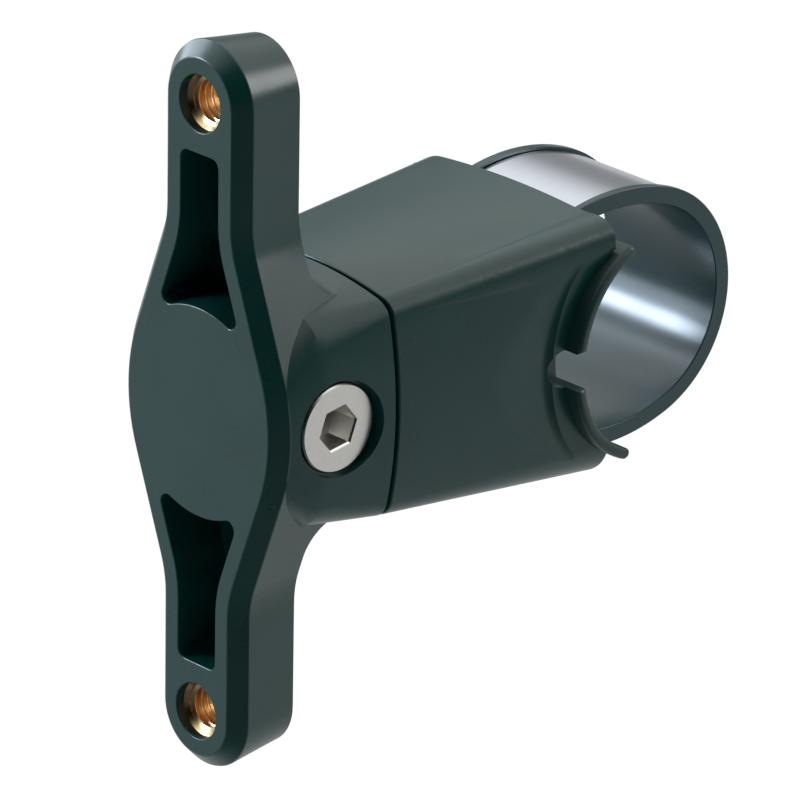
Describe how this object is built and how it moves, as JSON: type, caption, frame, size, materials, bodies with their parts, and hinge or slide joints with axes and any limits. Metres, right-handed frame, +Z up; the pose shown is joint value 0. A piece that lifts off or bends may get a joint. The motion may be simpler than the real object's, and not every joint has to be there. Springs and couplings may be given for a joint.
{
  "type": "handlebar bottle cage mount",
  "caption": "Clamp-on bottle cage mount: waisted cage plate with threaded brass inserts, flared clamp body and a screw-drawn steel band that grips a handlebar.",
  "frame": {"origin": "on the handlebar's axis, at the middle of the clamp's width", "axes": "+X along the handlebar towards the screw's head, +Z up along the line of the two cage bolts, the cage plate's face towards -Y"},
  "size_m": [0.0336, 0.0653, 0.0762],
  "materials": {
    "plate_plastic": "fine satin moulded nylon, near black",
    "body_plastic": "fine satin moulded nylon, near black",
    "insert_brass": "turned and threaded",
    "pad_rubber": "smooth",
    "band_steel": "bright rolled stainless strip",
    "liner_plastic": "smooth extruded liner",
    "pin_steel": "ground",
    "block_metal": "die cast",
    "nut_brass": "machined",
    "screw_steel": "satin stainless",
    "clip_steel": "spring steel"
  },
  "bodies": {
    "mount": {"cage_plate": "plate_plastic", "upper_insert": "insert_brass", "lower_insert": "insert_brass", "clamp_body": "body_plastic", "saddle_pad": "pad_rubber"},
    "screw": {"clamp_screw": "screw_steel", "retaining_clip": "clip_steel"},
    "nut": {"wedge_nut": "nut_brass"},
    "band": {"draw_block": "block_metal", "upper_band_pin": "pin_steel", "lower_band_pin": "pin_steel", "steel_band": "band_steel", "band_liner": "liner_plastic"}
  },
  "joints": [
    {"name": "screw_turn", "type": "hinge", "parent": "mount", "child": "screw", "pos_m": [0, -0.04, 0], "axis": [-1, 0, 0], "range_deg": [0, 1620]},
    {"name": "nut_travel", "type": "slide", "parent": "mount", "child": "nut", "axis": [1, 0, 0], "range_m": [0, 0.0045]},
    {"name": "band_draw", "type": "slide", "parent": "mount", "child": "band", "axis": [0, -1, 0], "range_m": [0, 0.0045]}
  ],
  "couplings": [
    {"joint": "screw_turn", "follows": "band_draw", "rad_per_m": 6283.2},
    {"joint": "nut_travel", "follows": "band_draw", "ratio": 1}
  ]
}
